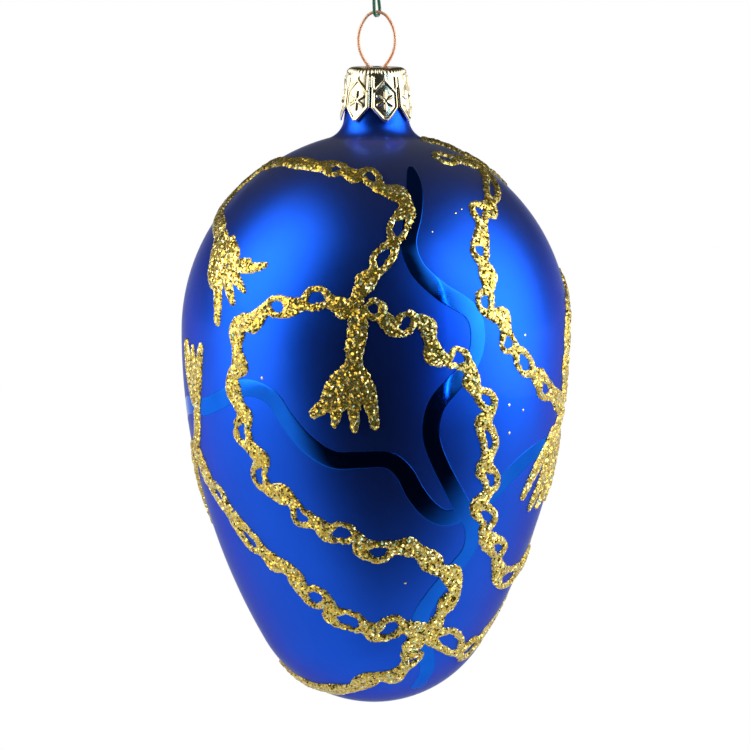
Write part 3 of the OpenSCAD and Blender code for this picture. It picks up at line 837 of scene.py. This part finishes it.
make_rope("rope_top", [
    (-65, 30, 0), (-71, 33, 0), (-84, 37, 0), (-91, 41, 0), (-93, 46, 0), (-93, 51, 0), (-90, 55, 0),
    (-83, 58, 0), (-66, 60, 0), (-47, 60, 0), (-36, 59, 0), (-28, 59, 0), (-23, 58, 1), (-16, 57, 0),
    (-10, 55, 0), (-4, 56, 1), (2, 50, 0), (9, 48, 0), (12, 44, 0), (11, 40, 0), (8, 36, 1), (6, 31, 0),
    (2, 26, 1), (0, 22, 0), (-3, 19, 0), (-5, 15, 0), (-6, 11, 0)])
make_rope("rope_left", [
    (-6, 10, 0), (-9, 11, 0), (-13, 13, 0), (-18, 14, 1), (-22, 12, 0), (-26, 11, 0), (-30, 11, 1),
    (-34, 10, 0), (-38, 6, 0), (-43, 6, 0), (-44, 3, 0), (-44, -2, 0), (-43, -7, 0), (-46, -10, 0),
    (-46, -14, 0), (-44, -18, 0), (-42, -21, 0), (-44, -25, 1), (-41, -29, 0), (-37, -32, 0),
    (-39, -36, 1), (-36, -39, 0), (-31, -40, 0), (-27, -42, 0), (-25, -45, 1), (-20, -46, 0),
    (-16, -48, 0), (-11, -48, 1), (-6, -49, 0), (-4, -51, 0), (2, -52, 1), (7, -51, 0), (12, -51, 0),
    (16, -52, 0), (21, -54, 0), (26, -56, 0), (31, -57, 0), (34, -60, 0), (32, -62, 0), (30, -64, 0),
    (28, -67, 0), (24, -68, 0)])
make_rope("rope_right", [
    (-4, 12, 0), (0, 11, 1), (2, 9, 0), (5, 6, 0), (9, 7, 1), (12, 8, 0), (15, 6, 0), (16, 2, 0),
    (17, -2, 0), (21, -4, 0), (24, -3, 1), (28, -6, 0), (29, -10, 0), (31, -13, 0), (35, -16, 1),
    (36, -19, 0), (34, -22, 0), (37, -27, 1), (37, -31, 0), (36, -34, 0), (40, -37, 1), (39, -40, 0),
    (36, -43, 0), (42, -46, 1), (41, -49, 0), (45, -51, 0), (52, -53, 1), (52, -55, 0), (58, -58, 0),
    (66, -59, 1), (77, -58, 0), (87, -56, 0)],
    [(95, -53), (104, -45), (110, -36), (113, -29), (115, -24)], LOW_TAIL)
make_rope("rope_low", [
    (-74, -31, 0), (-70, -37, 0), (-66, -40, 0), (-62, -42, 1), (-58, -45, 0), (-54, -48, 0),
    (-49, -51, 1), (-44, -53, 0), (-40, -55, 0), (-34, -56, 0), (-31, -58, 0), (-29, -60, 0),
    (-24, -61, 1), (-19, -62, 0), (-18, -64, 0), (-10, -65, 1), (-4, -66, 0), (1, -67, 0), (8, -66, 1),
    (14, -66, 0), (22, -67, 0), (28, -68, 0)])
make_rope("rope_foot", [
    (27, -67, 0), (20, -69, 0), (18, -71, 0), (22, -71, 1), (18, -73, 0), (13, -75, 0), (4, -75, 0),
    (-5, -76, 0), (-16, -78, 0), (-34, -79, 0), (-52, -79, 0), (-76, -78, 0)],
    [(-92, -77), (-118, -72), (-136, -66)])
make_rope("rope_foot_right", [
    (23, -67, 0), (30, -68, 0), (41, -69, 1), (53, -71, 0), (61, -71, 1), (68, -70, 0)],
    [(85, -66), (101, -60), (114, -53), (123, -45), (126, -36), (123, -29), (117, -24)], LOW_TAIL)
make_rope("rope_side", [
    (46, 67, 0), (49, 63, 1), (59, 62, 0), (69, 60, 0), (74, 57, 0), (70, 53, 0), (61, 48, 1),
    (53, 44, 0), (49, 41, 0), (43, 41, 1), (41, 36, 0), (38, 31, 0), (36, 28, 1), (36, 24, 0),
    (37, 20, 0), (36, 16, 0), (34, 13, 1), (36, 9, 0), (40, 8, 0), (41, 4, 0), (42, 0, 1), (45, -2, 0),
    (49, -6, 1), (53, -9, 0), (57, -11, 0), (60, -14, 1), (66, -16, 0), (73, -19, 0), (79, -22, 0)])
make_rope("rope_edge", [], [
    (78, -21), (78, -14), (79, -7), (79, 0), (84, 7), (97, 14), (109, 21), (120, 24), (132, 22),
    (143, 16), (149, 9), (155, 5)])
make_rope("rope_crown", [], [
    (64, 74), (80, 72), (91, 67), (95, 61), (98, 55), (105, 50), (118, 48), (134, 48), (148, 45),
    (158, 38), (163, 30), (162, 22), (159, 15), (157, 5)])
make_rope("rope_back", [], [
    (158, 5), (163, 7), (172, 10), (184, 11), (196, 8), (208, 2), (219, -5), (229, -9),
    (234, -12)])
make_rope("rope_back_low", [], [
    (-75, -31), (-89, -40), (-95, -47), (-106, -53), (-122, -56), (-140, -54), (-156, -48),
    (-170, -42), (-184, -40), (-198, -42), (-212, -41), (-222, -38), (-229, -36)])

# Tassels, each drawn stroke by stroke
TASSEL_STEPS = 12
STROKE_LEAST = 0.2


def make_tassel(node, spine, strokes, half_width):
    """A tassel of strokes; each stroke is rows of (longitude, latitude, half width)."""
    knots = bend_through(spine, TASSEL_STEPS)
    lines = []
    for rows in strokes:
        curve = bend_through(rows, TASSEL_STEPS)
        half = np.maximum(curve[:, 2], STROKE_LEAST)
        line, half = even(surface(curve[:, 0], curve[:, 1])[0], STROKE_STEP, half)
        lines.append((line, half, np.ones(len(line))))
    relief(node + "_glitter", node, surface(knots[:, 0], knots[:, 1])[0], lines, half_width)


make_tassel("tassel_left", [(-68, 34), (-60, 23), (-48, 3)], [
    [(-76, 35, 0.9), (-70, 33, 1.0), (-63, 30, 1.4)],
    [(-66, 29, 1.1), (-63, 24, 1.4), (-61, 19, 1.3), (-58, 16, 1.1)],
    [(-62, 29, 1.6), (-58, 24, 1.7), (-56, 18, 1.4)],
    [(-57, 29, 1.4), (-53, 26, 1.6), (-51, 22, 1.5), (-52, 18, 1.3)],
    [(-50, 22, 1.4), (-45, 22, 1.3), (-41, 22, 1.0), (-37, 23, 0.6)],
    [(-47, 23, 1.0), (-44, 24, 0.6)],
    [(-50, 20, 1.2), (-46, 17, 0.9), (-43, 15, 0.6)],
    [(-52, 18, 1.2), (-49, 14, 0.9), (-47, 11, 0.6)],
    [(-56, 17, 1.3), (-54, 11, 1.1), (-53, 5, 0.7)]], 13.5)
make_tassel("tassel_front", [(-5.3, 11.5), (-5.6, 0), (-8, -25.5)], [
    [(-5, 10, 1.8), (-5, 5, 1.8), (-6, 0, 1.7), (-6, -4, 1.5), (-6, -6, 1.6)],
    [(-7, -6, 1.3), (-11, -11, 2.0), (-14, -16, 1.5), (-18, -19, 0.9)],
    [(-7, -6, 1.3), (-10, -13, 2.0), (-11, -18, 1.2), (-12, -22, 0.6)],
    [(-6, -6, 1.3), (-7, -13, 1.9), (-6, -18, 1.1), (-6, -23, 0.7)],
    [(-5, -6, 1.3), (-3, -11, 1.8), (-1, -17, 1.2), (0, -22, 0.8)]], 8.5)
make_tassel("tassel_low", [(-74, -33.5), (-68, -20), (-67.5, 1)], [
    [(-74, -32, 1.0), (-70, -27, 1.2), (-68, -22, 1.2), (-67, -18, 1.3)],
    [(-69, -19, 1.2), (-72, -12, 1.3), (-73, -7, 1.1), (-74, -2, 0.6)],
    [(-68, -18, 1.2), (-68, -13, 1.4), (-68, -8, 1.0), (-68, -3, 0.5)],
    [(-67, -19, 1.2), (-65, -13, 1.3), (-63, -6, 1.0), (-62, -2, 0.6)]], 6.5)
make_tassel("tassel_right", [(78, -20), (74, -30), (69, -48)], [
    [(79, -22, 1.3), (76, -25, 1.5), (74, -29, 1.7)],
    [(71, -27, 1.2), (65, -33, 1.4), (60, -38, 1.0), (57, -42, 0.6)],
    [(73, -27, 1.2), (71, -34, 1.4), (67, -41, 1.0), (64, -45, 0.6)],
    [(76, -28, 1.2), (76, -35, 1.4), (74, -41, 1.0), (71, -45, 0.6)],
    [(78, -28, 1.1), (81, -35, 1.3), (82, -40, 0.9), (80, -44, 0.6)]], 8.0)

# Tassels on the back: one fan of strokes, each rows of (share of its length, share of its spread, half width)
FAN = [
    [(-0.06, 0, 1.3), (0.12, 0, 1.45), (0.30, 0, 1.3), (0.38, 0, 1.3)],
    [(0.36, -0.10, 1.2), (0.58, -0.55, 1.5), (0.76, -0.80, 1.1), (0.92, -1.0, 0.6)],
    [(0.36, -0.04, 1.2), (0.60, -0.22, 1.5), (0.80, -0.32, 0.95), (0.99, -0.38, 0.5)],
    [(0.36, 0.04, 1.2), (0.60, 0.16, 1.5), (0.80, 0.22, 0.9), (1.0, 0.24, 0.55)],
    [(0.36, 0.10, 1.2), (0.58, 0.50, 1.4), (0.78, 0.72, 0.95), (0.97, 0.92, 0.6)]]
FAN_SPINE = (-0.12, 0.49, 1.1)
FAN_EDGE = 1.6


def make_fan(node, head, end, spread):
    """A tassel from its head to the end of its strands, which spread over this many millimetres."""
    head, end = np.array(head, float), np.array(end, float)
    per_lon = np.linalg.norm(np.diff(surface([head[0], head[0] + 1], [head[1], head[1]])[0], axis=0))
    aside = np.array([spread / 2 / per_lon, 0])

    def place(along, across=0.0):
        return head + (end - head) * along + aside * across

    strokes = [[(*place(along, across), half) for along, across, half in rows] for rows in FAN]
    spine = [place(along) for along in FAN_SPINE]
    make_tassel(node, spine, strokes, spread / 2 + FAN_EDGE)


make_fan("tassel_back", (157, 4), (158, -22), 10)
make_fan("tassel_back_left", (235, -13), (238, -36), 9)
make_fan("tassel_back_right", (116, -21), (121, 4), 7.5)

# Stray grains beside the ropes
STRAY_SIZES = (0.2, 0.3)
STRAY_H = 0.05
STRAY_SUNK = 0.09
STRAY_WAY = (0.3, 0.2, 0.9)


def make_strays(spots):
    verts, faces = [], []
    for lon, lat in spots:
        (place,), (face,) = surface([lon], [lat], STRAY_H)
        side = unit(np.cross(face, STRAY_WAY))
        up = np.cross(face, side)
        size = rng.uniform(*STRAY_SIZES)
        base = len(verts)
        for a in np.radians(np.arange(0, 360, 60)):
            verts.append(place + size * (math.cos(a) * side + math.sin(a) * up))
        verts += [place + STRAY_H * face, place - STRAY_SUNK * face]
        for i in range(6):
            j = (i + 1) % 6
            faces += [(base + i, base + j, base + 6), (base + j, base + i, base + 7)]
    piece("stray_grains", verts, faces, "egg", GOLD, False)


make_strays([
    (35, 41.7), (31.5, 40.4), (19.8, 34.3), (49.2, 2.1), (43.4, -17.6), (49.8, -19.4), (44.6, -25.3),
    (-34.7, -9.8), (12, -58), (150, 20), (200, -20), (-130, 10), (-150, 35), (120, -5)])

# Stage: pale floor, white surroundings, soft lights and the camera, in metres
FLOOR_Z = -0.30
FLOOR_HALF = 12.0


def make_floor():
    """A pale floor that turns white far off; the part mirrors a bright floor behind it and at its left."""
    s = Shader("floor_white")
    rays = s.node("ShaderNodeLightPath").outputs
    camera = rays["Is Camera Ray"]
    mirrored = s.math("MAXIMUM", rays["Is Glossy Ray"], rays["Is Transmission Ray"])
    axes = s.axes(s.place())
    left, right = s.math("MULTIPLY", axes[0], -0.65), s.math("MULTIPLY", axes[0], 0.05)
    ahead = s.math("ADD", axes[1], s.math("MAXIMUM", left, right))
    lit = s.math("ADD", s.smooth(ahead, 0.005, 0.72, -0.25, -0.03), s.smooth(ahead, 0.0, 0.25, 0.3, 0.8))
    away = s.span(s.vector("LENGTH", s.place())["Value"], 0.0, 1.0, 0.30, 0.75)
    share = s.math("MAXIMUM", s.math("MULTIPLY", camera, away), mirrored)
    s.set(Base_Color=(0.82, 0.82, 0.82, 1), Roughness=0.6)
    bright = s.math("MAXIMUM", camera, lit)
    glow = s.node("ShaderNodeEmission", {"Color": (1, 1, 1, 1), "Strength": bright})
    mix = s.node("ShaderNodeMixShader", {0: share, 1: s.bsdf.outputs[0], 2: glow.outputs[0]})
    s.put(s.nodes["Material Output"].inputs["Surface"], mix.outputs[0])
    mesh = bpy.data.meshes.new("floor")
    w = FLOOR_HALF
    mesh.from_pydata([(-w, -w, 0), (w, -w, 0), (w, w, 0), (-w, w, 0)], [], [(0, 1, 2, 3)])
    mesh.materials.append(s.mat)
    floor = bpy.data.objects.new("floor", mesh)
    floor.location.z = FLOOR_Z
    scene.collection.objects.link(floor)


def make_world():
    """White to the camera; to the part a dark room with a bright low stretch behind it."""
    world = bpy.data.worlds.new("studio")
    scene.world = world
    w = Nodes(world)
    rays = w.node("ShaderNodeLightPath").outputs
    way = w.axes(w.node("ShaderNodeTexCoord").outputs["Generated"])
    low = w.math("SUBTRACT", 1.0, w.smooth(way["Z"], 0.0, 1.0, 0.0, 0.3))
    behind = w.math("MULTIPLY", w.smooth(way["Y"], 0.0, 1.0, 0.4, 0.95), low)
    mirrored = w.math("MAXIMUM", rays["Is Glossy Ray"], rays["Is Transmission Ray"])
    share = w.math("ADD", 0.4, w.math("MULTIPLY", mirrored, 0.58))
    room = w.math("ADD", 0.02, w.math("MULTIPLY", behind, share))
    camera = rays["Is Camera Ray"]
    others = w.math("MULTIPLY", w.math("SUBTRACT", 1.0, camera), room)
    back = w.nodes["Background"]
    w.put(back.inputs["Color"], (1, 1, 1, 1))
    w.put(back.inputs["Strength"], w.math("ADD", camera, others))


EGG_MIDDLE = Vector((0, 0, MIDDLE_Z * MM))
LIGHT_AWAY = 0.9


def soften(light):
    """A panel that is brightest in its middle and fades to its edges."""
    n = Nodes(light)
    across = n.axes(n.node("ShaderNodeNewGeometry").outputs["Parametric"])
    waves = [n.math("SINE", n.math("MULTIPLY", across[i], math.pi)) for i in (0, 1)]
    n.put(n.nodes["Emission"].inputs["Strength"], n.math("MULTIPLY", *waves))


def make_light(name, azimuth, elevation, size, watts, tint=(1, 1, 1), fades=True):
    """A panel that faces the egg's middle from an azimuth and an elevation in degrees."""
    a, e = math.radians(azimuth), math.radians(elevation)
    way = Vector((math.sin(a) * math.cos(e), -math.cos(a) * math.cos(e), math.sin(e)))
    light = bpy.data.lights.new(name, "AREA")
    light.shape = "RECTANGLE"
    light.size, light.size_y = size
    light.energy, light.color = watts, tint
    if fades:
        soften(light)
    obj = bpy.data.objects.new(name, light)
    obj.location = EGG_MIDDLE + LIGHT_AWAY * way
    obj.rotation_euler = way.to_track_quat("Z", "Y").to_euler()
    scene.collection.objects.link(obj)


# Camera: the widths of the photo and of the egg in it in pixels, then its place and its sensor
PHOTO_PIXELS = 750
EGG_PIXELS = 387
CAMERA_RISE = math.radians(5.5)
CAMERA_ROLL = math.radians(0.3)
CAMERA_AWAY = 1.0
AIM_Z = -0.0886
SENSOR = 36


def make_camera():
    """The photo's view: the egg's width takes as many pixels as in the photo."""
    cam = bpy.data.cameras.new("camera")
    obj = bpy.data.objects.new("camera", cam)
    scene.collection.objects.link(obj)
    back = Vector((0, -math.cos(CAMERA_RISE), math.sin(CAMERA_RISE)))
    obj.location = Vector((0, 0, AIM_Z)) + CAMERA_AWAY * back
    turn = back.to_track_quat("Z", "Y") @ Matrix.Rotation(CAMERA_ROLL, 3, "Z").to_quaternion()
    obj.rotation_euler = turn.to_euler()
    wide = PHOTO_PIXELS * 2 * EGG_R / EGG_PIXELS * MM
    cam.sensor_width = SENSOR
    cam.lens = SENSOR * CAMERA_AWAY / wide
    cam.clip_start, cam.clip_end = 0.01, 100
    scene.camera = obj


make_floor()
make_world()
make_light("key_left", -79, 25, (1.25, 1.7), 20)
make_light("fill_right", 84, 13, (1.4, 1.8), 24)
make_light("high_right", 50, 38, (0.5, 0.5), 1.2)
make_light("edge_strip", 43, 0, (0.015, 1.6), 1.8, tint=(0.12, 0.48, 1))
make_light("window_right", 61, 0, (0.6, 1.6), 1.1, fades=False)
make_camera()
scene.view_settings.view_transform = "Standard"
